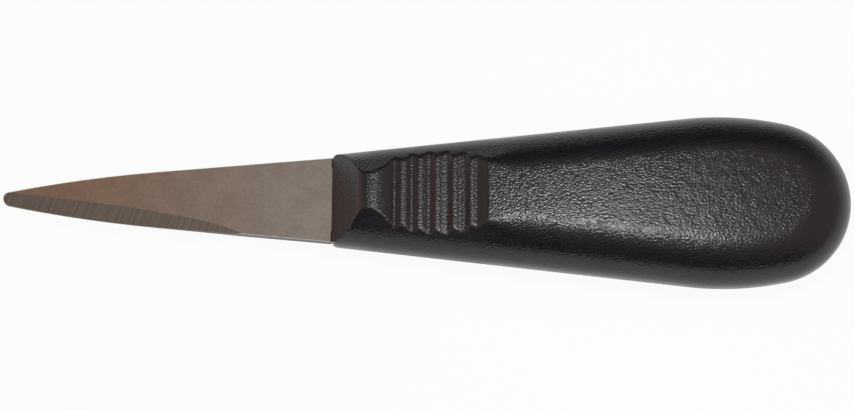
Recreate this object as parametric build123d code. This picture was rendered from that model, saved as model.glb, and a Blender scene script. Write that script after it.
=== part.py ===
from build123d import *
from math import asin, atan2, cos, hypot, pi, radians, sin, sqrt, tan
import os

# Oyster knife: a stamped steel blade with a hidden tang, and a plastic handle moulded around that tang.
# Lengths are millimetres and angles are degrees. While it is built, x runs from the blade's point (x = 0)
# to the butt, y is across the knife and z = 0 is the middle plane of the sheet that the blade is cut from.

# Blade: the length that shows, its width where it meets the handle, the sheet's thickness,
# and the small bevel that tumbling leaves along the sheet's edges
blade_length = 64.0
heel_width = 17.0
sheet_thickness = 2.0
edge_break = 0.15
nose_radius = 1.3

# The blade's side is straight from the heel to this point, and one arc from there to the nose.
# The point is a share of the blade's length and a share of half its width at the heel.
side_break_length_share = 0.47
side_break_width_share = 0.65

# Ground edge: the slope of the grind, and its upper border across the flat of the blade.
# Each border point is a share of the blade's length and a share of half its width at the heel.
grind_angle = 13.0
grind_border_shares = [(-0.06, 0.24), (0.20, -0.02), (0.40, -0.215), (0.56, -0.43), (0.69, -0.68), (0.80, -1.14)]

# Tang: the narrow strip of the same sheet inside the handle, with the holes that key it in the plastic
tang_length = 66.0
tang_root_width = 11.0
tang_end_width = 8.0
tang_root_radius = 1.5
tang_hole_diameter = 4.5
tang_hole_inset = 14.0
tang_hole_pitch = 24.0
tang_hole_count = 2

# Handle outline, seen from above: it stands just proud of the heel, widens along straight sides
# to the belly's arc, and ends in the round butt, which is a little narrower than the belly
handle_length = 101.0
side_proud = 0.5
belly_width = 34.1
belly_radius = 55.0
belly_swell = 1.0

# Handle section: a flat back, sloping flanks and a side wall, the same on both sides of the blade,
# with wide roundings that leave little of the wall
handle_thickness = 16.8
side_wall = 8.0
flank_run = 6.6
back_edge_radius = 5.0
wall_edge_radius = 5.8

# Front end of the handle: a lip just proud of the blade, and a slope from there up to the flat back
front_lip = 0.3
front_slope_run = 5.9
front_corner_radius = 0.6
front_ridge_radius = 1.2

# Thumb scoop: a shallow hollow across the flat back. Grooves are pressed into its floor, with level
# ribs between them. The scoop's place and the first groove's are measured from the front end
scoop_inset = 6.2
scoop_length = 24.0
scoop_depth = 2.15
first_groove = 12.3
groove_count = 5
groove_pitch = 3.35
groove_width = 1.7
groove_floor = 0.8
groove_depth = 1.0

# How far a cut runs past what it cuts, how close two lengths count as level,
# and the share of the room beside an edge that its rounding may use up
overrun = 2.0
level_gap = 0.01
rounding_room_share = 0.95

# Sizes that follow from the ones above
half_sheet = sheet_thickness / 2
half_heel = heel_width / 2
half_front = half_heel + side_proud
half_belly = belly_width / 2
half_thickness = handle_thickness / 2
half_wall = side_wall / 2
lip_height = half_sheet + front_lip
flank_drop = half_thickness - half_wall
overall_length = blade_length + handle_length
wide_cut = half_belly + overrun


def mirrored(point):
    """The same point on the other side of the knife's centre line."""
    return (point[0], -point[1])


def on_circle(centre, radius, direction):
    """The point of a circle that lies in this direction, in radians, from its centre."""
    return (centre[0] + radius * cos(direction), centre[1] + radius * sin(direction))


def direction_of(start, end):
    """The direction, in radians, from one point to another."""
    return atan2(end[1] - start[1], end[0] - start[0])


def arc_between(centre, radius, start, end):
    """The arc of a circle from one of its points to another."""
    middle = (direction_of(centre, start) + direction_of(centre, end)) / 2
    return ThreePointArc(start, on_circle(centre, radius, middle), end)


def edges_in(solid, plane):
    """The edges of a solid that lie in a plane."""
    chosen = []
    for edge in solid.edges():
        heights = [abs(plane.to_local_coords(edge @ place).Z) for place in (0, 1 / 2, 1)]
        if max(heights) < level_gap:
            chosen.append(edge)
    return chosen


def without(edges, others):
    """The edges of one list that aren't in another."""
    return [edge for edge in edges if edge not in others]


def blade_outline():
    """Outline of the part of the blade that shows: nose, long arcs, straight sides and heel."""
    heel = (blade_length, half_heel)
    side_break = (side_break_length_share * blade_length, side_break_width_share * half_heel)
    nose_centre = (nose_radius, 0)

    # The side arc leaves the straight side along its direction and runs into the nose's circle
    slope = direction_of(side_break, heel)
    outward = (-sin(slope), cos(slope))
    reach = (side_break[0] - nose_centre[0], side_break[1] - nose_centre[1])
    rise = outward[0] * reach[0] + outward[1] * reach[1]
    side_radius = (reach[0] ** 2 + reach[1] ** 2 - nose_radius**2) / (2 * (rise - nose_radius))
    side_centre = (side_break[0] - outward[0] * side_radius, side_break[1] - outward[1] * side_radius)
    nose_end = on_circle(nose_centre, nose_radius, direction_of(side_centre, nose_centre))

    upper_arc = arc_between(side_centre, side_radius, side_break, nose_end)
    lower_arc = arc_between(mirrored(side_centre), side_radius, mirrored(nose_end), mirrored(side_break))
    return make_face(Wire([
        Line(heel, side_break),
        upper_arc,
        ThreePointArc(nose_end, (0, 0), mirrored(nose_end)),
        lower_arc,
        Line(mirrored(side_break), mirrored(heel)),
        Line(mirrored(heel), heel),
    ]))


def tang_outline():
    """Outline of the tang: a strip that narrows from the heel to its round end."""
    half_root = tang_root_width / 2
    half_end = tang_end_width / 2
    root_x = blade_length - half_root
    end_centre = (blade_length + tang_length - half_end, 0)
    root = Line((root_x, half_root), (root_x, -half_root))
    end = CenterArc(end_centre, half_end, -90, 180)
    return make_hull(root.edges() + end.edges())


def blade_profile():
    """Blade and tang as one stamping, with rounded inner corners and the keying holes."""
    profile = blade_outline() + tang_outline()
    heel_line = Plane(origin=(blade_length, 0, 0), z_dir=(1, 0, 0))
    inner_corners = [
        corner for corner in profile.vertices()
        if abs(heel_line.to_local_coords(Vector(corner)).Z) < level_gap and abs(corner.Y) < half_heel - level_gap
    ]
    shoulder = half_heel - tang_root_width / 2
    profile = fillet(inner_corners, min(tang_root_radius, rounding_room_share * shoulder))
    for i in range(tang_hole_count):
        centre_x = blade_length + tang_hole_inset + i * tang_hole_pitch
        profile -= Pos(centre_x, 0) * Circle(tang_hole_diameter / 2)
    return profile


def grind_cutter():
    """What the grindstone takes off one face of the blade along one edge.

    The border of the grind is a curve on the flat of the blade. The stone's surface falls from that
    curve to the edge at the grind angle, so the cutter is the curve's trace pushed along the slope.
    """
    slope = radians(grind_angle)
    stone_plane = Plane(origin=(0, 0, half_sheet), x_dir=(1, 0, 0), z_dir=(0, -cos(slope), -sin(slope)))
    border = [
        (length_share * blade_length, -sin(slope) * width_share * half_heel)
        for length_share, width_share in grind_border_shares
    ]
    start_above = (border[0][0], heel_width)
    end_above = (border[-1][0], heel_width)
    trace = make_face(Wire([
        Spline(*border),
        Line(border[-1], end_above),
        Line(end_above, start_above),
        Line(start_above, border[0]),
    ]))
    return extrude(stone_plane * trace, heel_width, both=True)


def build_blade():
    """Blade and tang, cut from one sheet, with the edge ground from both faces."""
    sheet = extrude(blade_profile(), half_sheet, both=True)
    for face_plane in (Plane.XY.offset(half_sheet), Plane.XY.offset(-half_sheet)):
        sheet = chamfer(edges_in(sheet, face_plane), edge_break)
    grind = grind_cutter()
    return sheet - grind - mirror(grind, about=Plane.XY)


def handle_outline():
    """Outline of the handle from above, with its straight sides carried past the front end."""
    butt_radius = half_belly - belly_swell
    butt_centre = (overall_length - butt_radius, 0)
    belly_centre_y = half_belly - belly_radius
    centres_apart = sqrt((belly_radius - butt_radius) ** 2 - belly_centre_y**2)
    belly_centre = (butt_centre[0] - centres_apart, belly_centre_y)

    # The straight side starts at the front corner and touches the belly's arc
    front = (blade_length, half_front)
    reach = hypot(belly_centre[0] - front[0], belly_centre[1] - front[1])
    taper = direction_of(front, belly_centre) + asin(belly_radius / reach)
    belly_start = on_circle(front, sqrt(reach**2 - belly_radius**2), taper)
    belly_end = on_circle(butt_centre, butt_radius, direction_of(belly_centre, butt_centre))
    side_start = on_circle(front, -overrun, taper)

    upper_belly = arc_between(belly_centre, belly_radius, belly_start, belly_end)
    lower_belly = arc_between(mirrored(belly_centre), belly_radius, mirrored(belly_end), mirrored(belly_start))
    return make_face(Wire([
        Line(mirrored(side_start), side_start),
        Line(side_start, belly_start),
        upper_belly,
        ThreePointArc(belly_end, (overall_length, 0), mirrored(belly_end)),
        lower_belly,
        Line(mirrored(belly_start), mirrored(side_start)),
    ]))


def half_bar():
    """Upper half of the handle's long form: flat back, flanks and side wall, with rounded edges."""
    bar = extrude(handle_outline(), half_thickness)
    end_plane = Plane(bar.faces().sort_by(Axis.X)[0])
    back_plane = Plane.XY.offset(half_thickness)
    wall_plane = Plane.XY.offset(half_wall)

    back = bar.faces().sort_by(Axis.Z)[-1]
    back_rim = without(edges_in(bar, back_plane), edges_in(bar, end_plane))
    bar = chamfer(back_rim, flank_run, flank_drop, reference=back)

    # Each rounding stays within the flat back, where that is narrowest, and the side wall
    flank_slope = atan2(flank_drop, flank_run)
    back_rim = without(edges_in(bar, back_plane), edges_in(bar, end_plane))
    back_end = without(edges_in(bar, back_plane), back_rim)[0]
    back_room = back_end.length / 2 / tan(flank_slope / 2)
    bar = fillet(back_rim, min(back_edge_radius, rounding_room_share * back_room))
    wall_room = half_wall / tan((pi / 2 - flank_slope) / 2)
    wall_rim = without(edges_in(bar, wall_plane), edges_in(bar, end_plane))
    return fillet(wall_rim, min(wall_edge_radius, rounding_room_share * wall_room))


def trim_front(bar):
    """The half bar cut to the handle's front end: a low lip, then the slope up to the flat back."""
    slope_end = (blade_length + front_slope_run, half_thickness)
    side_view = make_face(Polyline(
        (blade_length, -overrun),
        (blade_length, lip_height),
        slope_end,
        (overall_length + overrun, half_thickness),
        (overall_length + overrun, -overrun),
        close=True,
    ))
    ridge = side_view.vertices().sort_by_distance(slope_end)[0]
    side_view = fillet(ridge, front_ridge_radius)
    return bar & extrude(Plane.XZ * side_view, wide_cut, both=True)


def scoop_height(along):
    """Height of the thumb scoop's sweep this far behind the front end: one arc from rim to rim."""
    half_chord = scoop_length / 2
    radius = (half_chord**2 + scoop_depth**2) / (2 * scoop_depth)
    from_middle = along - scoop_inset - half_chord
    return half_thickness - scoop_depth + radius - sqrt(radius**2 - from_middle**2)


def scoop_cutter():
    """The hollow for the thumb: a ramp down, grooves with level ribs between them, and a rise behind.

    Its side view is pushed straight across the handle. Each rib has the height of the sweep at its
    middle, and each groove is cut the same depth below the lower of its two sides.
    """
    level = scoop_height(first_groove - groove_width / 2)
    side_view = [(scoop_inset, half_thickness)]
    for i in range(groove_count):
        middle = first_groove + i * groove_pitch
        next_level = scoop_height(middle + groove_pitch / 2)
        floor = min(level, next_level) - groove_depth
        side_view += [
            (middle - groove_width / 2, level),
            (middle - groove_floor / 2, floor),
            (middle + groove_floor / 2, floor),
            (middle + groove_width / 2, next_level),
        ]
        level = next_level
    scoop_end = scoop_inset + scoop_length
    side_view += [
        (first_groove + groove_count * groove_pitch - groove_width / 2, level),
        (scoop_end, half_thickness),
        (scoop_end, half_thickness + overrun),
        (scoop_inset, half_thickness + overrun),
    ]
    profile = Pos(blade_length, 0) * make_face(Polyline(*side_view, close=True))
    return extrude(Plane.XZ * profile, wide_cut, both=True)


def round_front_corners(body):
    """The handle with its front end's upright corners rounded, beside the blade's heel."""
    front_plane = Plane(origin=(blade_length, 0, 0), z_dir=(-1, 0, 0))
    lips = edges_in(body, Plane.XY.offset(lip_height)) + edges_in(body, Plane.XY.offset(-lip_height))
    return fillet(without(edges_in(body, front_plane), lips), front_corner_radius)


def build_handle(blade):
    """Handle moulded around the tang: two like halves, with a pocket of the tang's own shape."""
    half = trim_front(half_bar()) - scoop_cutter()
    return round_front_corners(half + mirror(half, about=Plane.XY)) - blade


blade = build_blade()
handle = build_handle(blade)

# The finished knife lies on one flat back, with the middle of its length and width over the origin
to_frame = Pos(-overall_length / 2, 0, half_thickness)
os.makedirs("parts", exist_ok=True)
export_step(to_frame * blade, "parts/blade.step")
export_step(to_frame * handle, "parts/handle.step")
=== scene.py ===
import math

import bmesh
import bpy
import numpy as np
from bpy.props import FloatProperty, FloatVectorProperty, IntProperty, PointerProperty
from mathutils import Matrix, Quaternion, Vector


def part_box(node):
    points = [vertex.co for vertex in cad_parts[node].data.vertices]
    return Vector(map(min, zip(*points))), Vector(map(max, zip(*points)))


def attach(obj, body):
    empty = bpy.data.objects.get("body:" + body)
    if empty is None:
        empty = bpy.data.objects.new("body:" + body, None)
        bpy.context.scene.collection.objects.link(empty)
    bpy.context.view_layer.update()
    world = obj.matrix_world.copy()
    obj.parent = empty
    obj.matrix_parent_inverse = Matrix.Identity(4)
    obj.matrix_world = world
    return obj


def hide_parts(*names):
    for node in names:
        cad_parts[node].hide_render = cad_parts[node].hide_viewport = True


bl_info = {
    "name": "Oyster Knife",
    "version": (1, 0, 0),
    "blender": (4, 5, 0),
    "location": "3D View > Sidebar > Oyster Knife",
    "description": "Dresses an oyster knife: a satin steel blade with a ground edge, a grained black handle",
    "category": "Object",
}

# The knife as it was constructed. Lengths are metres, and it lies on one flat back on the floor, z = 0,
# with its point toward -x and the butt of its handle toward +x.
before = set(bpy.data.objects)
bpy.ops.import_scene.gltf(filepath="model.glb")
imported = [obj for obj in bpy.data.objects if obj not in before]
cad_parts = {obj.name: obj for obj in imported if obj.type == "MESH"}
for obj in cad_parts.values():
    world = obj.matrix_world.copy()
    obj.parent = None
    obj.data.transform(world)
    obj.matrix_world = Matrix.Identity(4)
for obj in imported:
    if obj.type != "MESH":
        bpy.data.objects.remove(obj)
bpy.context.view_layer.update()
BLADE_LOW, BLADE_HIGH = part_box("blade")
HANDLE_LOW, HANDLE_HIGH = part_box("handle")
KNIFE_LENGTH = HANDLE_HIGH.x - BLADE_LOW.x
HANDLE_LENGTH = HANDLE_HIGH.x - HANDLE_LOW.x
TANG_LENGTH = BLADE_HIGH.x - HANDLE_LOW.x
HALF_BELLY = HANDLE_HIGH.y
HALF_HEEL = BLADE_HIGH.y
HALF_THICKNESS = (HANDLE_HIGH.z - HANDLE_LOW.z) / 2
HALF_SHEET = (BLADE_HIGH.z - BLADE_LOW.z) / 2
MIDDLE_HEIGHT = (HANDLE_HIGH.z + HANDLE_LOW.z) / 2

MM = 0.001

# The photograph's width, and where the knife's point and butt lie across it, in pixels
PHOTO_WIDTH = 854
KNIFE_LEFT_PIXEL = 4.0
KNIFE_RIGHT_PIXEL = 850.5


class Value:
    """An output of a shader node. Arithmetic on it adds the nodes that work the result out."""

    def __init__(self, recipe, socket):
        self.recipe = recipe
        self.socket = socket

    def combine(self, operation, first, second):
        """A Math node for numbers, or a Vector Math node where one side is a vector."""
        sides = [side.socket.type for side in (first, second) if isinstance(side, Value)]
        kind = "ShaderNodeVectorMath" if "VECTOR" in sides else "ShaderNodeMath"
        return self.recipe.node(kind, {"operation": operation}, {0: first, 1: second})

    def __add__(self, other):
        return self.combine("ADD", self, other)

    def __radd__(self, other):
        return self.combine("ADD", other, self)

    def __sub__(self, other):
        return self.combine("SUBTRACT", self, other)

    def __rsub__(self, other):
        return self.combine("SUBTRACT", other, self)

    def __mul__(self, other):
        return self.combine("MULTIPLY", self, other)

    def __rmul__(self, other):
        return self.combine("MULTIPLY", other, self)

    def __abs__(self):
        return self.combine("ABSOLUTE", self, 0)

    def rises(self, start, end):
        """0 up to the start, 1 from the end on, and a smooth rise between them."""
        settings = {"interpolation_type": "SMOOTHSTEP"}
        inputs = {"Value": self, "From Min": start, "From Max": end}
        return self.recipe.node("ShaderNodeMapRange", settings, inputs)

    def part(self, axis):
        """One coordinate of a vector."""
        return self.recipe.node("ShaderNodeSeparateXYZ", {}, {"Vector": self}, axis)


class Recipe:
    """A node tree that is filled from Python expressions."""

    def __init__(self, tree):
        self.tree = tree
        self.tree.nodes.clear()

    def node(self, kind, settings, inputs, output=0):
        """Adds a node with these settings and input values or links, and returns one of its outputs, if any."""
        node = self.tree.nodes.new(kind)
        for name, setting in settings.items():
            setattr(node, name, setting)
        for name, value in inputs.items():
            socket = node.inputs[name]
            if isinstance(value, Value):
                self.tree.links.new(value.socket, socket)
            elif socket.type == "VECTOR" and isinstance(value, (int, float)):
                socket.default_value = (value, value, value)
            elif socket.type == "RGBA":
                socket.default_value = (*value[:3], 1)
            else:
                socket.default_value = value
        return Value(self, node.outputs[output]) if node.outputs else None

    def blend(self, share, first, second):
        """One colour that goes over into another. A Mix node has its colours at inputs 6 and 7, output 2."""
        return self.node("ShaderNodeMix", {"data_type": "RGBA"}, {0: share, 6: first, 7: second}, 2)

    def tint(self, colour, filter_colour):
        """One colour multiplied by another."""
        settings = {"data_type": "RGBA", "blend_type": "MULTIPLY"}
        return self.node("ShaderNodeMix", settings, {0: 1.0, 6: colour, 7: filter_colour}, 2)

    def noise(self, place, patch, detail=2.0):
        """Cloudy noise from 0 to 1, with patches of about this size."""
        return self.node("ShaderNodeTexNoise", {}, {"Vector": place, "Scale": 1 / patch, "Detail": detail})

    def streaks(self, place, pitch, detail=2.0):
        """Noise along one direction only, for parallel marks this far apart."""
        settings = {"noise_dimensions": "1D"}
        return self.node("ShaderNodeTexNoise", settings, {"W": place, "Scale": 1 / pitch, "Detail": detail})

    def cells(self, place, size, feature, smoothness=1.0):
        """Distances in a pattern of irregular cells of about this size."""
        inputs = {"Vector": place, "Scale": 1 / size}
        if feature == "SMOOTH_F1":
            inputs["Smoothness"] = smoothness
        return self.node("ShaderNodeTexVoronoi", {"feature": feature}, inputs, "Distance")

    def bump(self, height, depth):
        """The surface direction over a relief of this depth."""
        return self.node("ShaderNodeBump", {}, {"Height": height, "Distance": depth})


def new_material(name):
    """A material with an empty node tree, and the recipe that fills it."""
    material = bpy.data.materials.new(name)
    material.use_nodes = True
    return material, Recipe(material.node_tree)


def smooth_min(first, second, width):
    """The lower of two heights, rounded over where they come within this width of each other."""
    near = np.maximum(width - np.abs(first - second), 0)
    return np.minimum(first, second) - near**2 / (4 * width)


def smooth_max(first, second, width):
    """The higher of two heights, rounded over where they come within this width of each other."""
    return -smooth_min(-first, -second, width)


def rounding_width(radius, slope):
    """The width that smooth_min needs for this radius where two surfaces meet at this slope."""
    return radius * slope**2 / (2 * (1 + slope**2 / 4) ** 1.5)


def smooth_step(place, start, end):
    """0 up to the start, 1 from the end on, and a smooth rise between them."""
    share = np.clip((place - start) / (end - start), 0, 1)
    return share * share * (3 - 2 * share)


class BladeLook(bpy.types.PropertyGroup):
    """Colours of the steel, with a painted reflection toward the point and a painted highlight on its corners."""

    heel_colour: FloatVectorProperty(
        name="Heel colour", description="Steel beside the handle", subtype="COLOR", size=3, min=0, max=1,
        default=(0.38, 0.39, 0.385))
    # The point colour is a painted reflection: warmer and darker steel toward the point
    point_reflection_colour: FloatVectorProperty(
        name="Point colour", description="Steel toward the point, with its warm painted_reflection", subtype="COLOR",
        size=3, min=0, max=1, default=(0.327, 0.247, 0.2))
    ground_colour: FloatVectorProperty(
        name="Ground colour", description="Steel of the ground edge", subtype="COLOR", size=3, min=0, max=1,
        default=(0.21, 0.195, 0.182))
    edge_colour: FloatVectorProperty(
        name="Edge colour", description="Steel of the sheet's sheared edges", subtype="COLOR", size=3,
        min=0, max=1, default=(0.12, 0.10, 0.085))
    # The arris colour is a painted highlight along the corners between faces and edges
    painted_arris_highlight: FloatVectorProperty(
        name="Arris colour", description="Steel of the painted_highlight corners between faces and edges", subtype="COLOR",
        size=3, min=0, max=1, default=(0.5, 0.48, 0.45))
    satin: FloatProperty(
        name="Satin", description="Roughness of the flat faces", subtype="FACTOR", min=0, max=1, default=0.2)
    ground_satin: FloatProperty(
        name="Ground satin", description="Roughness of the ground edge", subtype="FACTOR", min=0, max=1,
        default=0.42)
    mark_pitch: FloatProperty(
        name="Mark pitch", description="Distance between the grindstone's marks", unit="LENGTH",
        default=0.5 * MM)
    mark_depth: FloatProperty(
        name="Mark depth", description="Depth of the grindstone's marks", unit="LENGTH", default=0.035 * MM)
    mark_lean: FloatProperty(
        name="Mark lean", description="How far the marks lean from straight across the blade",
        subtype="ANGLE", default=math.radians(23))


class HandleSizes(bpy.types.PropertyGroup):
    """Sizes of the moulded handle."""

    side_proud: FloatProperty(
        name="Side proud", description="How far the handle stands out beside the heel", unit="LENGTH",
        default=0.5 * MM)
    belly_radius: FloatProperty(
        name="Belly radius", description="Radius of the wide part's sides", unit="LENGTH", default=60 * MM)
    belly_swell: FloatProperty(
        name="Belly swell", description="How much wider the belly is than the butt's circle", unit="LENGTH",
        default=1.0 * MM)
    side_wall: FloatProperty(
        name="Side wall", description="Height of the upright side wall before it is rounded", unit="LENGTH",
        default=8.0 * MM)
    flank_run: FloatProperty(
        name="Flank run", description="Width of the sloping flank, seen from above", unit="LENGTH",
        default=6.35 * MM)
    wall_round: FloatProperty(
        name="Wall rounding", description="Radius between side wall and flank", unit="LENGTH",
        default=7.2 * MM)
    front_corner: FloatProperty(
        name="Front corner", description="Radius of the front corners, seen from above", unit="LENGTH",
        default=1.1 * MM)
    front_lip: FloatProperty(
        name="Front lip", description="How far the front end stands above the blade", unit="LENGTH",
        default=0.3 * MM)
    front_slope_run: FloatProperty(
        name="Front slope", description="Length of the slope behind the front end", unit="LENGTH",
        default=5.9 * MM)
    front_ridge_round: FloatProperty(
        name="Front ridge", description="Radius of the ridge above the front slope", unit="LENGTH",
        default=3.2 * MM)
    front_round: FloatProperty(
        name="Front rounding", description="Radius of the edges along the front slope", unit="LENGTH",
        default=1.0 * MM)
    scoop_round: FloatProperty(
        name="Scoop rounding", description="Radius of the flank's edge along the thumb scoop", unit="LENGTH",
        default=2.2 * MM)
    scoop_rim_round: FloatProperty(
        name="Scoop rim", description="Radius of the thumb scoop's rim on the flat back", unit="LENGTH",
        default=2.0 * MM)
    back_round: FloatProperty(
        name="Back rounding", description="Radius of the flat back's edges behind the scoop", unit="LENGTH",
        default=9.5 * MM)
    butt_round: FloatProperty(
        name="Butt rounding", description="Radius of the flat back's edges round the butt", unit="LENGTH",
        default=10.5 * MM)
    back_crown: FloatProperty(
        name="Back crown", description="Radius of the back's slight crown across the handle", unit="LENGTH",
        default=350 * MM)
    back_fall: FloatProperty(
        name="Back fall", description="How much lower the back lies at the butt than behind the scoop",
        unit="LENGTH", default=0.4 * MM)
    scoop_inset: FloatProperty(
        name="Scoop inset", description="Distance from the front end to the thumb scoop", unit="LENGTH",
        default=6.2 * MM)
    scoop_length: FloatProperty(
        name="Scoop length", description="Length of the thumb scoop", unit="LENGTH", default=24.0 * MM)
    scoop_depth: FloatProperty(
        name="Scoop depth", description="Depth of the thumb scoop", unit="LENGTH", default=2.0 * MM)
    ramp_crown: FloatProperty(
        name="Ramp crown", description="How far the scoop's front ramp bulges", unit="LENGTH",
        default=0.42 * MM)
    groove_count: IntProperty(name="Grooves", description="Number of grooves in the scoop", min=0, default=5)
    groove_pitch: FloatProperty(
        name="Groove pitch", description="Distance between the grooves", unit="LENGTH", default=3.35 * MM)
    first_groove: FloatProperty(
        name="First groove", description="Distance from the front end to the first groove's middle",
        unit="LENGTH", default=12.3 * MM)
    rib_crown: FloatProperty(
        name="Rib crown", description="How far the top of a rib between grooves bulges", unit="LENGTH",
        default=0.08 * MM)
    rib_fall: FloatProperty(
        name="Rib fall", description="How much lower the top of a rib lies on the side of the butt",
        unit="LENGTH", default=0.22 * MM)
    groove_width: FloatProperty(
        name="Groove width", description="Width of a groove at its top", unit="LENGTH", default=2.0 * MM)
    groove_floor: FloatProperty(
        name="Groove floor", description="Width of a groove's floor", unit="LENGTH", default=0.5 * MM)
    groove_depth: FloatProperty(
        name="Groove depth", description="Depth of a groove", unit="LENGTH", default=0.42 * MM)
    groove_round: FloatProperty(
        name="Groove rounding", description="Width over which the grooves' edges are rounded", unit="LENGTH",
        default=0.6 * MM)
    tang_root_width: FloatProperty(
        name="Tang root", description="Width of the tang's pocket behind the front end", unit="LENGTH",
        default=11 * MM)
    tang_end_width: FloatProperty(
        name="Tang end", description="Width of the tang's pocket at its round end", unit="LENGTH",
        default=8 * MM)
    tang_root_radius: FloatProperty(
        name="Tang root radius", description="Radius where the pocket widens to the heel", unit="LENGTH",
        default=1.5 * MM)


class HandleLook(bpy.types.PropertyGroup):
    """Finish of the plastic."""

    plastic_colour: FloatVectorProperty(
        name="Plastic", description="Colour of the plastic", subtype="COLOR", size=3, min=0, max=1,
        default=(0.0078, 0.008, 0.012))
    satin: FloatProperty(
        name="Satin", description="Roughness of the plastic", subtype="FACTOR", min=0, max=1, default=0.22)
    scoop_satin: FloatProperty(
        name="Scoop satin", description="Roughness of the plastic in the thumb scoop", subtype="FACTOR",
        min=0, max=1, default=0.32)
    shine: FloatProperty(
        name="Shine", description="Strength of the plastic's reflections", subtype="FACTOR", min=0, max=1,
        default=0.5)
    grain_size: FloatProperty(
        name="Grain size", description="Size of the pebbles of the leather grain", unit="LENGTH",
        default=0.38 * MM)
    grain_depth: FloatProperty(
        name="Grain depth", description="Depth of the leather grain", unit="LENGTH", default=0.06 * MM)


class StageSettings(bpy.types.PropertyGroup):
    """Floor, light and camera."""

    floor_size: FloatProperty(
        name="Floor", description="Width of the floor", unit="LENGTH", default=6.0)
    floor_colour: FloatVectorProperty(
        name="Floor colour", description="Colour of the floor", subtype="COLOR", size=3, min=0, max=1,
        default=(0.94, 0.94, 0.94))
    floor_lift: FloatProperty(
        name="Floor lift", description="How far the floor goes over to plain white where it is seen",
        subtype="FACTOR", min=0, max=1, default=0.94)
    overhead_colour: FloatVectorProperty(
        name="Overhead", description="Light of the ceiling overhead", subtype="COLOR", size=3, min=0, max=1,
        default=(0.55, 0.443, 0.382))
    window_colour: FloatVectorProperty(
        name="Window", description="Warm light of the window past the point", subtype="COLOR", size=3, min=0,
        max=1, default=(1.0, 0.64, 0.52))
    room_colour: FloatVectorProperty(
        name="Room", description="Light of the dark room around", subtype="COLOR", size=3, min=0, max=1,
        default=(0.03, 0.028, 0.027))
    lamp_strength: FloatProperty(
        name="Lamp", description="Power of the soft lamp overhead", subtype="POWER", unit="POWER",
        default=0.122)
    lamp_size: FloatProperty(
        name="Lamp size", description="Width of the soft lamp overhead", unit="LENGTH", default=0.04)
    lamp_height: FloatProperty(
        name="Lamp height", description="Height of that lamp above the floor", unit="LENGTH", default=0.18)
    lamp_offset: FloatProperty(
        name="Lamp offset", description="How far that lamp stands toward the butt", unit="LENGTH",
        default=0.043)
    lamp_side: FloatProperty(
        name="Lamp side", description="How far that lamp stands to the side away from the ground edge",
        unit="LENGTH", default=-0.003)
    camera_distance: FloatProperty(
        name="Camera distance", description="Distance from the lens to the knife", unit="LENGTH",
        default=0.43)
    camera_height: FloatProperty(
        name="Camera elevation", description="Angle of the view above the floor", subtype="ANGLE",
        default=math.radians(75))
    camera_roll: FloatProperty(
        name="Camera roll", description="Turn of the picture about its middle", subtype="ANGLE",
        default=math.radians(0.25))
    aim_offset: FloatProperty(
        name="Aim", description="How far the picture's middle lies toward the ground edge", unit="LENGTH",
        default=0.72 * MM)


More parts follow.
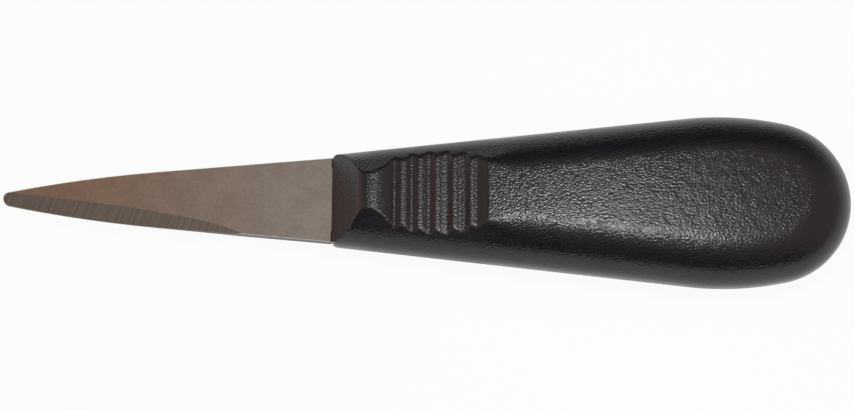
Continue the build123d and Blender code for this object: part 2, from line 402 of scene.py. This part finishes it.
class HandleForm:
    """The handle's surface. s runs from its front end to the butt, y across it, z up from the sheet's middle."""

    def __init__(self, sizes):
        self.sizes = sizes
        half_front = HALF_HEEL + sizes.side_proud
        self.front = np.array((0, half_front))
        self.butt_radius = HALF_BELLY - sizes.belly_swell
        self.butt_centre = np.array((HANDLE_LENGTH - self.butt_radius, 0))
        belly_y = HALF_BELLY - sizes.belly_radius
        centres_apart = math.sqrt((sizes.belly_radius - self.butt_radius) ** 2 - belly_y**2)
        self.belly_centre = np.array((self.butt_centre[0] - centres_apart, belly_y))

        # The straight side touches the belly's arc, and that arc touches the butt's circle
        reach = self.belly_centre - self.front
        distance = np.hypot(*reach)
        self.taper = math.atan2(reach[1], reach[0]) + math.asin(sizes.belly_radius / distance)
        self.side_length = math.sqrt(distance**2 - sizes.belly_radius**2)
        meeting = self.butt_centre - self.belly_centre
        self.belly_from = math.pi / 2 + self.taper
        self.butt_from = math.atan2(meeting[1], meeting[0])
        self.belly_arc = sizes.belly_radius * (self.belly_from - self.butt_from)
        self.butt_arc = self.butt_radius * self.butt_from

        # Flank and wall
        self.half_wall = sizes.side_wall / 2
        self.flank_angle = math.atan2(HALF_THICKNESS - self.half_wall, sizes.flank_run)
        turn = math.pi / 2 - self.flank_angle
        room = sizes.wall_round * math.tan(turn / 2)
        self.wall_top = self.half_wall - room
        flank_direction = np.array((math.cos(self.flank_angle), math.sin(self.flank_angle)))
        self.flank_start = np.array((0, self.half_wall)) + room * flank_direction
        self.round_end = self.wall_top + sizes.wall_round * turn

        # Thumb scoop: its side view, with every corner rounded by averaging over a short width
        self.scoop_end = sizes.scoop_inset + sizes.scoop_length
        places, heights = self.scoop_side_view()
        self.scoop_places = np.arange(-SCOOP_REACH, self.scoop_end + SCOOP_REACH, SCOOP_STEP)
        exact = np.interp(self.scoop_places, places, heights)
        count = 2 * round(sizes.groove_round / SCOOP_STEP / 2) + 1
        window = np.hanning(count + 2)[1:-1]
        padded = np.pad(exact, count // 2, "edge")
        self.scoop_heights = np.convolve(padded, window / window.sum(), "valid")

    def outline(self, along):
        """Points of the outline these distances along it from the front corner, and their inward directions."""
        sizes = self.sizes
        along = np.asarray(along, float)[:, None]
        side_direction = np.array((math.cos(self.taper), math.sin(self.taper)))
        side = self.front + along * side_direction
        belly_angle = self.belly_from - (along - self.side_length) / sizes.belly_radius
        belly_out = np.concatenate((np.cos(belly_angle), np.sin(belly_angle)), 1)
        butt_angle = self.butt_from - (along - self.side_length - self.belly_arc) / self.butt_radius
        butt_out = np.concatenate((np.cos(butt_angle), np.sin(butt_angle)), 1)
        side_in = np.broadcast_to((math.sin(self.taper), -math.cos(self.taper)), side.shape)
        on_side = along < self.side_length
        on_belly = along < self.side_length + self.belly_arc
        point = np.where(on_side, side, np.where(
            on_belly, self.belly_centre + sizes.belly_radius * belly_out,
            self.butt_centre + self.butt_radius * butt_out))
        inward = np.where(on_side, side_in, np.where(on_belly, -belly_out, -butt_out))
        return point, inward

    def flank_at_height(self, z):
        """How far along the section's wall, rounding and flank this height is reached."""
        round_share = np.clip((z - self.wall_top) / self.sizes.wall_round, 0, 1)
        on_round = self.wall_top + self.sizes.wall_round * np.arcsin(round_share)
        on_flank = self.round_end + (z - self.flank_start[1]) / math.sin(self.flank_angle)
        return np.where(z < self.wall_top, z, np.where(z < self.flank_start[1], on_round, on_flank))

    def flank_point(self, along):
        """Distance in from the outline, and height, this far along the section's wall, rounding and flank."""
        radius = self.sizes.wall_round
        angle = np.clip((along - self.wall_top) / radius, 0, math.pi / 2 - self.flank_angle)
        beyond = np.maximum(along - self.round_end, 0)
        inset = radius * (1 - np.cos(angle)) + beyond * math.cos(self.flank_angle)
        height = np.minimum(along, self.wall_top) + radius * np.sin(angle)
        return inset, height + beyond * math.sin(self.flank_angle)

    def sweep_height(self, s):
        """Height of the thumb scoop's sweep at s: one arc from rim to rim."""
        sizes = self.sizes
        half_scoop = sizes.scoop_length / 2
        radius = (half_scoop**2 + sizes.scoop_depth**2) / (2 * sizes.scoop_depth)
        from_middle = s - sizes.scoop_inset - half_scoop
        return HALF_THICKNESS - sizes.scoop_depth + radius - math.sqrt(radius**2 - from_middle**2)

    def scoop_side_view(self):
        """Corners of the scoop's side view: a ramp down, grooves with ribs between them, a rise behind."""
        sizes = self.sizes
        half_width = sizes.groove_width / 2
        half_floor = sizes.groove_floor / 2
        share = np.linspace(0, 1, 9)
        bulge = 4 * share * (1 - share)
        last_edge = sizes.first_groove - half_width
        level = self.sweep_height(last_edge)
        ramp_rise = (HALF_THICKNESS - level) / (last_edge - sizes.scoop_inset)
        places = [-SCOOP_REACH, *(sizes.scoop_inset + share * (last_edge - sizes.scoop_inset))]
        heights = [HALF_THICKNESS + ramp_rise * (sizes.scoop_inset + SCOOP_REACH),
                   *(HALF_THICKNESS + share * (level - HALF_THICKNESS) + sizes.ramp_crown * bulge)]
        for i in range(sizes.groove_count):
            middle = sizes.first_groove + i * sizes.groove_pitch
            next_level = self.sweep_height(middle + sizes.groove_pitch / 2)
            floor = (level + next_level) / 2 - sizes.groove_depth
            rib_length = sizes.groove_pitch - sizes.groove_width
            rib_top = next_level + sizes.rib_crown * bulge + sizes.rib_fall * (0.5 - share)
            places += [middle - half_floor, middle + half_floor, *(middle + half_width + share * rib_length)]
            heights += [floor, floor, *rib_top]
            level = next_level
        rise = (HALF_THICKNESS - level) / (self.scoop_end - places[-1])
        places += [self.scoop_end, self.scoop_end + SCOOP_REACH]
        heights += [HALF_THICKNESS, HALF_THICKNESS + rise * SCOOP_REACH]
        return places, heights

    def top(self, s, y):
        """Height of the back, with the front slope, the thumb scoop and its grooves."""
        sizes = self.sizes
        fall_share = np.clip((s - self.scoop_end) / (HANDLE_LENGTH - self.scoop_end), 0, 1)
        back = HALF_THICKNESS - sizes.back_fall * fall_share**2 - y**2 / (2 * sizes.back_crown)
        lip = HALF_SHEET + sizes.front_lip
        slope = lip + s * (HALF_THICKNESS - lip) / sizes.front_slope_run
        ridge = rounding_width(sizes.front_ridge_round, (HALF_THICKNESS - lip) / sizes.front_slope_run)
        height = smooth_min(back, slope, ridge)
        scoop = np.interp(s, self.scoop_places, self.scoop_heights)
        return smooth_min(height, scoop, rounding_width(sizes.scoop_rim_round, SCOOP_RIM_SLOPE))

    def edge_width(self, s):
        """How far the rounding between flank and back reaches at s."""
        sizes = self.sizes
        stations = (0, sizes.front_slope_run, sizes.scoop_inset + sizes.front_slope_run, self.scoop_end,
                    self.scoop_end + sizes.scoop_inset, self.butt_centre[0])
        radii = (sizes.front_round, sizes.front_round, sizes.scoop_round, sizes.scoop_round, sizes.back_round,
                 sizes.butt_round)
        return rounding_width(np.interp(s, stations, radii), math.tan(self.flank_angle))

    def corner_inset(self, s):
        """How far the rounded front corners draw the outline in at s."""
        radius = self.sizes.front_corner
        before = np.clip(radius - s, 0, radius)
        return radius - np.sqrt(radius**2 - before**2)

    def pocket_half_width(self, s):
        """Half the width of the tang's pocket at s."""
        sizes = self.sizes
        root = sizes.tang_root_radius
        half_root = sizes.tang_root_width / 2
        half_end = sizes.tang_end_width / 2
        end_centre = TANG_LENGTH - half_end
        flare = root - np.sqrt(np.maximum(root**2 - np.clip(root - s, 0, root) ** 2, 0))
        strip = half_root + (half_end - half_root) * np.clip(s / end_centre, 0, 1)
        end = np.sqrt(np.maximum(half_end**2 - np.maximum(s - end_centre, 0) ** 2, 0))
        return np.where(s > end_centre, end, strip + flare)


# The scoop's side view is worked out at this spacing, and runs this far past its rims. Its ramp and its rise
# meet the flat back at about this slope
SCOOP_STEP = 0.02 * MM
SCOOP_REACH = 4 * MM
SCOOP_RIM_SLOPE = 0.4

# Columns of the handle's mesh: their distances from the edge between flank and back, the share of the room
# beside that edge that they may use up, and how many columns fill the rest of the flank and of the back
EDGE_STEPS = np.array((0.1, 0.22, 0.36, 0.54, 0.76, 1.02, 1.34, 1.72, 2.15, 2.65, 3.2, 3.8)) * MM
EDGE_ROOM_SHARE = 0.8
FLANK_STEPS = 12
BACK_STEPS = 9

# Rows of the handle's mesh: how many fan out over belly and butt, where they start to lean, and the share of
# the butt's radius over which their inner ends are spread. Only those ends replace a row that crosses the
# handle less directly than the last value says.
BUTT_ROWS = 64
FAN_START = 45 * MM
FAN_END_SHARE = 0.35
LEAST_CROSSING = 0.2

# Rounds of stepping toward the edge between flank and back, and how close two points count as one
EDGE_ROUNDS = 8
WELD_GAP = 0.0001 * MM


def spaced(start, end, step):
    """Evenly spaced places from the start up to but not including the end, at most a step apart."""
    count = max(1, math.ceil((end - start) / step))
    return np.linspace(start, end, count, endpoint=False)


def row_places(form):
    """Places of the mesh's rows along the straight sides, close together where the surface turns quickly."""
    sizes = form.sizes
    side_end = form.side_length * math.cos(form.taper)
    ridge = sizes.front_slope_run
    spans = [
        (0, 2 * sizes.front_corner, 0.1 * MM),
        (2 * sizes.front_corner, ridge - sizes.front_ridge_round, 0.35 * MM),
        (ridge - sizes.front_ridge_round, sizes.scoop_inset + sizes.scoop_round, 0.12 * MM),
        (sizes.scoop_inset + sizes.scoop_round, form.scoop_end + sizes.scoop_round, 0.12 * MM),
        (form.scoop_end + sizes.scoop_round, FAN_START, 0.5 * MM),
        (FAN_START, side_end, 0.9 * MM),
    ]
    return np.concatenate([spaced(*span) for span in spans])


def handle_quarter(form):
    """Rows of points over the handle's upper quarter on the +y side, from the middle plane to the centre line."""
    sizes = form.sizes
    straight = row_places(form)
    fan_length = form.belly_arc + form.butt_arc
    fan = form.side_length + fan_length * np.linspace(0, 1, BUTT_ROWS)
    point, inward = form.outline(np.concatenate((straight / math.cos(form.taper), fan)))
    point[: len(straight), 1] -= form.corner_inset(straight)

    # Rows run straight across the handle at the grooves, and lean over to the outline's own inward direction
    side_end = form.side_length * math.cos(form.taper)
    lean = smooth_step(point[:, :1], FAN_START, side_end)
    across = (1 - lean) * np.array((0, -1)) + lean * inward
    across /= np.hypot(*across.T)[:, None]
    stretch = 1 / np.sum(across * inward, 1)

    # Where each row meets the centre line, with the rows of the butt spread out a little
    meeting = point[:, 0] - across[:, 0] * point[:, 1] / np.minimum(across[:, 1], -LEAST_CROSSING)
    past_belly = np.concatenate((np.zeros(len(straight)), fan)) - form.side_length - form.belly_arc
    butt_share = np.clip(past_belly / form.butt_arc, 0, 1)
    spread = form.butt_centre[0] + FAN_END_SHARE * form.butt_radius * butt_share
    centre_s = np.where(butt_share > 0, spread, meeting)
    centre = np.stack((centre_s, np.zeros_like(centre_s)), 1)

    # The edge between flank and back, found by stepping to where the flank reaches the back's height
    edge_height = form.top(point[:, 0], point[:, 1])
    for _ in range(EDGE_ROUNDS):
        edge_along = form.flank_at_height(edge_height)
        edge_inset = form.flank_point(edge_along)[0]
        edge_point = point + across * (edge_inset * stretch)[:, None]
        edge_height = form.top(edge_point[:, 0], edge_point[:, 1])

    # Columns below the edge, on wall and flank
    low_scale = np.minimum(1, EDGE_ROOM_SHARE * edge_along / EDGE_STEPS[-1])
    low_near = edge_along[:, None] - np.concatenate((EDGE_STEPS[::-1], [0])) * low_scale[:, None]
    low_far = low_near[:, :1] * np.linspace(0, 1, FLANK_STEPS, endpoint=False)
    along = np.concatenate((low_far, low_near), 1)
    low_inset, low_flank = form.flank_point(along)
    low = point[:, None] + across[:, None] * (low_inset * stretch[:, None])[:, :, None]

    # Columns above the edge, on the back
    room = np.hypot(*(centre - edge_point).T)
    high_scale = np.minimum(1, EDGE_ROOM_SHARE * room / EDGE_STEPS[-1])
    high_inset = edge_inset[:, None] + EDGE_STEPS * high_scale[:, None]
    high_near = point[:, None] + across[:, None] * (high_inset * stretch[:, None])[:, :, None]
    share = np.linspace(0, 1, BACK_STEPS + 1)[1:, None]
    high_far = high_near[:, -1:] * (1 - share) + centre[:, None] * share
    high = np.concatenate((high_near, high_far), 1)
    far_rise = np.full((len(point), BACK_STEPS), np.inf)
    high_flank = np.concatenate((form.half_wall + high_inset * math.tan(form.flank_angle), far_rise), 1)

    place = np.concatenate((low, high), 1)
    flank = np.concatenate((low_flank, high_flank), 1)
    flank = np.minimum(flank, 2 * HALF_THICKNESS)
    width = form.edge_width(place[:, :, 0])
    height = smooth_min(flank, form.top(place[:, :, 0], place[:, :, 1]), width)
    height[:, 0] = 0
    return np.concatenate((place, np.maximum(height, 0)[:, :, None]), 2)


def front_rings(form, front_row):
    """Rings of points from the handle's front edge in to the tang's pocket and along it to its round end."""
    half_mouth = form.pocket_half_width(np.zeros(1))[0]
    mouth = front_row.copy()
    mouth[:, 1] = np.minimum(front_row[:, 1], half_mouth)
    mouth[:, 2] = np.minimum(front_row[:, 2], HALF_SHEET)
    rings = [front_row, mouth]
    root = form.sizes.tang_root_radius
    end_start = TANG_LENGTH - form.sizes.tang_end_width / 2
    round_end = end_start + (TANG_LENGTH - end_start) * np.sin(np.linspace(0, math.pi / 2, 8))
    places = np.concatenate((spaced(0, root, root / 4)[1:], spaced(root, end_start, 12 * MM), round_end))
    for s in places:
        ring = mouth.copy()
        ring[:, 0] = s
        ring[:, 1] *= form.pocket_half_width(np.array([s]))[0] / half_mouth
        rings.append(ring)
    return np.array(rings)


def weld(points, faces):
    """Merges points at the same place, and drops the corners and faces that this empties."""
    keys = np.round(points / WELD_GAP).astype(np.int64)
    kept, first, where = np.unique(keys, axis=0, return_index=True, return_inverse=True)
    where = where.reshape(-1)
    welded = []
    for face in faces:
        corners = []
        for corner in where[face]:
            if int(corner) not in corners:
                corners.append(int(corner))
        if len(corners) > 2:
            welded.append(corners)
    return points[first], welded


def grid_faces(rows, columns, start):
    """Quads between neighbouring rows and columns of a block of points."""
    number = np.arange(rows * columns).reshape(rows, columns) + start
    quads = np.stack((number[:-1, :-1], number[1:, :-1], number[1:, 1:], number[:-1, 1:]), -1)
    return quads.reshape(-1, 4)


def mirrored_mesh(name, blocks):
    """A mesh from blocks of points on the upper +y quarter, mirrored to all four quarters and welded."""
    points = []
    faces = []
    count = 0
    for side in (1, -1):
        for up in (1, -1):
            for block in blocks:
                rows, columns = block.shape[:2]
                points.append(block.reshape(-1, 3) * (1, side, up))
                faces.append(grid_faces(rows, columns, count))
                count += rows * columns
    points, faces = weld(np.concatenate(points), np.concatenate(faces))
    points = points + (HANDLE_LOW.x, 0, MIDDLE_HEIGHT)
    mesh = bpy.data.meshes.new(name)
    mesh.from_pydata(points.tolist(), [], faces)
    work = bmesh.new()
    work.from_mesh(mesh)
    bmesh.ops.recalc_face_normals(work, faces=work.faces)
    work.to_mesh(mesh)
    work.free()
    return mesh


# How level the steel lies, from 0 for upright to 1 for flat, where the sheared edges go over into the
# corners with their painted highlight, where the corners go over into the faces, and where the grind begins,
# and how far the grind faces the near side
SHEARED_LEVEL = (0.3, 0.6)
CORNER_LEVEL = (0.75, 0.9)
GROUND_LEVEL = (0.85, 0.93)
GROUND_FACING = (0.1, 0.2)

# Darkest and lightest of the steel's mottle, its pits, and darkest and lightest of the grindstone's marks,
# which all multiply its colour
MOTTLE_TINTS = ((0.92, 0.91, 0.9), (1.09, 1.09, 1.08))
PIT_TINT = (1.4, 1.4, 1.4)
MARK_TINTS = ((0.86, 0.87, 0.88), (1.14, 1.13, 1.12))

# The painted warm reflection fades from this far before the handle's front end to this far behind it
REFLECTION_TINT_START = 62 * MM
REFLECTION_TINT_END = 6 * MM

# The dull finish of the scoop fades over this length to each side of its ends
SCOOP_FADE = 3 * MM

# The leather grain runs this way across the handle, is drawn out this much along it and wanders this far
GRAIN_TURN = math.radians(-28)
GRAIN_STRETCH = (0.82, 1.18, 1)
GRAIN_DRIFT_SIZE = 2.5 * MM
GRAIN_DRIFT = 0.9 * MM


def steel_finish(look):
    """Satin steel with a painted warm, darker reflection toward the point and a painted highlight on its corners,
    and the grindstone's marks across the ground edge.
    """
    material, recipe = new_material("satin_steel")
    place = recipe.node("ShaderNodeTexCoord", {}, {}, "Object")
    facing = recipe.node("ShaderNodeNewGeometry", {}, {}, "True Normal")
    level = abs(facing.part(2))
    ground = level.rises(*GROUND_LEVEL) * (0 - facing.part(1)).rises(*GROUND_FACING)
    sheared = 1 - level.rises(*SHEARED_LEVEL)

    # Colour: a painted warm, darker reflection toward the point that fades out toward the heel, lightly mottled,
    # with a few light pits
    blade_end = HANDLE_LOW.x
    reflection_fade = place.part(0).rises(blade_end - REFLECTION_TINT_START, blade_end + REFLECTION_TINT_END)
    clouds = recipe.noise(place, 5 * MM, 4)
    specks = recipe.noise(place, 0.6 * MM, 3)
    pits = 1 - recipe.cells(place, 6 * MM, "F1").rises(0.02, 0.05)
    # Painted reflection: the faces go from the warm, darker point colour over to the heel colour
    face_colour = recipe.blend(reflection_fade, look.point_reflection_colour, look.heel_colour)
    mottle = recipe.blend(((clouds + specks) * 0.5).rises(0.35, 0.65), *MOTTLE_TINTS)
    mottle = recipe.blend(pits, mottle, PIT_TINT)
    face_colour = recipe.tint(face_colour, mottle)

    # Marks of the grindstone, straight and close together, and the rolled face's fine frost
    lean = math.tan(look.mark_lean)
    across = place.part(0) - place.part(1) * lean
    marks = recipe.streaks(across, look.mark_pitch, 1.5)
    frost = recipe.noise(place, 0.22 * MM, 3)
    height = marks * ground * look.mark_depth + frost * 0.004 * MM
    normal = recipe.bump(height, 1.0)
    scored = recipe.blend(marks.rises(0.3, 0.7), *MARK_TINTS)
    marked = recipe.tint(look.ground_colour, scored)
    colour = recipe.blend(ground, face_colour, marked)
    # Painted highlight: the corners between faces and edges get a lighter steel colour
    colour = recipe.blend(level.rises(*CORNER_LEVEL), look.painted_arris_highlight, colour)
    colour = recipe.blend(sheared, colour, look.edge_colour)

    satin = look.satin + (frost - 0.5) * 0.12 + (clouds - 0.5) * 0.04
    satin = satin + (ground + sheared) * (look.ground_satin - look.satin)
    shader = recipe.node("ShaderNodeBsdfPrincipled", {}, {
        "Base Color": colour, "Metallic": 1.0, "Roughness": satin, "Normal": normal}, "BSDF")
    recipe.node("ShaderNodeOutputMaterial", {}, {"Surface": shader})
    return material


def plastic_finish(look, sizes):
    """Black plastic with a fine leather grain, duller in the thumb scoop."""
    material, recipe = new_material("grained_plastic")
    place = recipe.node("ShaderNodeTexCoord", {}, {}, "Object")
    drift = recipe.node("ShaderNodeTexNoise", {}, {
        "Vector": place, "Scale": 1 / GRAIN_DRIFT_SIZE, "Detail": 1.0}, "Color")
    bent = place + (drift - 0.5) * GRAIN_DRIFT
    slanted = recipe.node("ShaderNodeMapping", {}, {
        "Vector": bent, "Rotation": (0, 0, GRAIN_TURN), "Scale": GRAIN_STRETCH})
    pebbles = recipe.cells(slanted, look.grain_size, "SMOOTH_F1", 0.6)
    dust = recipe.noise(bent, 0.3 * look.grain_size, 2)
    relief = 1 - pebbles + dust * 0.25
    normal = recipe.bump(relief * look.grain_depth, 1.0)

    scoop_start = HANDLE_LOW.x + sizes.scoop_inset
    scoop_end = scoop_start + sizes.scoop_length
    past_front = place.part(0).rises(scoop_start - SCOOP_FADE, scoop_start + SCOOP_FADE)
    in_scoop = past_front - place.part(0).rises(scoop_end - SCOOP_FADE, scoop_end + SCOOP_FADE)
    satin = look.satin + in_scoop * (look.scoop_satin - look.satin) + (dust - 0.5) * 0.1
    shader = recipe.node("ShaderNodeBsdfPrincipled", {}, {
        "Base Color": look.plastic_colour, "Roughness": satin, "Specular IOR Level": look.shine,
        "Normal": normal}, "BSDF")
    recipe.node("ShaderNodeOutputMaterial", {}, {"Surface": shader})
    return material


class OYSTERKNIFE_OT_blade(bpy.types.Operator):
    """Gives the steel blade its satin finish and the marks of grinding"""

    bl_idname = "oyster_knife.blade"
    bl_label = "Finish Blade"
    bl_options = {"REGISTER", "UNDO"}

    def execute(self, context):
        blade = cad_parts["blade"]
        blade.data.materials.clear()
        blade.data.materials.append(steel_finish(context.scene.oyster_blade_look))
        return {"FINISHED"}


class OYSTERKNIFE_OT_handle(bpy.types.Operator):
    """Models the moulded handle with its grooved thumb scoop, and gives it its leather grain"""

    bl_idname = "oyster_knife.handle"
    bl_label = "Model Handle"
    bl_options = {"REGISTER", "UNDO"}

    def execute(self, context):
        form = HandleForm(context.scene.oyster_handle_sizes)
        quarter = handle_quarter(form)
        mesh = mirrored_mesh("moulded_handle", [quarter, front_rings(form, quarter[0])])
        mesh.shade_smooth()
        mesh.set_sharp_from_angle(angle=math.radians(50))
        mesh.materials.append(plastic_finish(context.scene.oyster_handle_look, form.sizes))
        handle = bpy.data.objects.new("moulded_handle", mesh)
        context.scene.collection.objects.link(handle)
        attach(handle, "root")
        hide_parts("handle")
        return {"FINISHED"}


class OYSTERKNIFE_OT_stage(bpy.types.Operator):
    """Sets up the pale floor, the soft light and the camera"""

    bl_idname = "oyster_knife.stage"
    bl_label = "Set Stage"
    bl_options = {"REGISTER", "UNDO"}

    def execute(self, context):
        stage = context.scene.oyster_stage
        self.add_floor(context, stage)
        self.light_room(context, stage)
        self.add_camera(context, stage)
        self.add_lamp(context, stage)
        context.scene.view_settings.view_transform = "Standard"
        return {"FINISHED"}

    def add_floor(self, context, stage):
        """A pale floor that keeps the knife's shadow and is nearly white where it is seen."""
        half = stage.floor_size / 2
        mesh = bpy.data.meshes.new("floor")
        corners = [(-half, -half, 0), (half, -half, 0), (half, half, 0), (-half, half, 0)]
        mesh.from_pydata(corners, [], [(0, 1, 2, 3)])
        material, recipe = new_material("pale_floor")
        paper = recipe.node("ShaderNodeBsdfDiffuse", {}, {"Color": stage.floor_colour}, "BSDF")
        white = recipe.node("ShaderNodeEmission", {}, {"Color": (1, 1, 1), "Strength": 1.0})
        seen = self.seen_share(recipe) * stage.floor_lift
        surface = recipe.node("ShaderNodeMixShader", {}, {0: seen, 1: paper, 2: white})
        recipe.node("ShaderNodeOutputMaterial", {}, {"Surface": surface})
        mesh.materials.append(material)
        floor = bpy.data.objects.new("floor", mesh)
        context.scene.collection.objects.link(floor)

    def seen_share(self, recipe):
        """1 for rays that show the floor in the picture, straight or by way of metal, gloss or glass."""
        rays = [recipe.node("ShaderNodeLightPath", {}, {}, name) for name in
                ("Is Camera Ray", "Is Glossy Ray", "Is Transmission Ray")]
        return rays[0].combine("MAXIMUM", rays[0].combine("MAXIMUM", rays[0], rays[1]), rays[2])

    def light_room(self, context, stage):
        """A ceiling over the length of the knife, a window past its point, dark sides and a white horizon."""
        world = bpy.data.worlds.new("studio")
        world.use_nodes = True
        recipe = Recipe(world.node_tree)
        direction = recipe.node("ShaderNodeTexCoord", {}, {}, "Generated")
        past_point = (0 - direction.part(0)).rises(0.6, 0.95)
        lengthwise = recipe.blend(past_point, stage.overhead_colour, stage.window_colour)
        room = recipe.blend(abs(direction.part(1)).rises(0.45, 0.75), lengthwise, stage.room_colour)

        # The white horizon reaches a little higher on the near side
        near_side = (0 - direction.part(1)).rises(0.5, 0.9)
        colour = recipe.blend((direction.part(2) - near_side * 0.2).rises(0.04, 0.12), (1, 1, 1), room)
        background = recipe.node("ShaderNodeBackground", {}, {"Color": colour, "Strength": 1.0})
        recipe.node("ShaderNodeOutputWorld", {}, {"Surface": background})
        context.scene.world = world

    def add_camera(self, context, stage):
        """The camera at the photograph's angle, with the knife as wide in the picture as there."""
        data = bpy.data.cameras.new("camera")
        data.sensor_fit = "HORIZONTAL"
        picture_width = KNIFE_LENGTH * PHOTO_WIDTH / (KNIFE_RIGHT_PIXEL - KNIFE_LEFT_PIXEL)
        data.lens = data.sensor_width * stage.camera_distance / picture_width
        camera = bpy.data.objects.new("camera", data)
        height = stage.camera_height
        back = Vector((0, -math.cos(height), math.sin(height)))
        aim = Vector((0, -stage.aim_offset, MIDDLE_HEIGHT))
        camera.location = aim + back * stage.camera_distance
        camera.rotation_mode = "QUATERNION"
        roll = Quaternion((0, 0, 1), stage.camera_roll)
        camera.rotation_quaternion = (-back).to_track_quat("-Z", "Y") @ roll
        context.scene.collection.objects.link(camera)
        context.scene.camera = camera

    def add_lamp(self, context, stage):
        """One small soft lamp overhead, which makes the grain sparkle."""
        data = bpy.data.lights.new("lamp", "AREA")
        data.shape = "DISK"
        data.size = stage.lamp_size
        data.energy = stage.lamp_strength
        lamp = bpy.data.objects.new("lamp", data)
        lamp.location = (stage.lamp_offset, stage.lamp_side, stage.lamp_height)
        context.scene.collection.objects.link(lamp)


class OYSTERKNIFE_PT_panel(bpy.types.Panel):
    """Lists the steps that dress the knife, and the sizes and colours that they use"""

    bl_idname = "OYSTERKNIFE_PT_panel"
    bl_label = "Oyster Knife"
    bl_space_type = "VIEW_3D"
    bl_region_type = "UI"
    bl_category = "Oyster Knife"

    def draw(self, context):
        for operator, group in STEPS:
            box = self.layout.box()
            box.operator(operator.bl_idname)
            for name in group:
                settings = getattr(context.scene, name)
                for key in settings.__annotations__:
                    box.prop(settings, key)


SETTINGS = {
    "oyster_blade_look": BladeLook,
    "oyster_handle_sizes": HandleSizes,
    "oyster_handle_look": HandleLook,
    "oyster_stage": StageSettings,
}
STEPS = (
    (OYSTERKNIFE_OT_blade, ("oyster_blade_look",)),
    (OYSTERKNIFE_OT_handle, ("oyster_handle_sizes", "oyster_handle_look")),
    (OYSTERKNIFE_OT_stage, ("oyster_stage",)),
)
CLASSES = (*SETTINGS.values(), *(operator for operator, _ in STEPS), OYSTERKNIFE_PT_panel)


def register():
    for cls in CLASSES:
        bpy.utils.register_class(cls)
    for name, group in SETTINGS.items():
        setattr(bpy.types.Scene, name, PointerProperty(type=group))


def unregister():
    for name in SETTINGS:
        delattr(bpy.types.Scene, name)
    for cls in reversed(CLASSES):
        bpy.utils.unregister_class(cls)


def main():
    register()
    bpy.ops.oyster_knife.blade()
    bpy.ops.oyster_knife.handle()
    bpy.ops.oyster_knife.stage()
    bpy.context.view_layer.update()


if __name__ == "__main__":
    main()
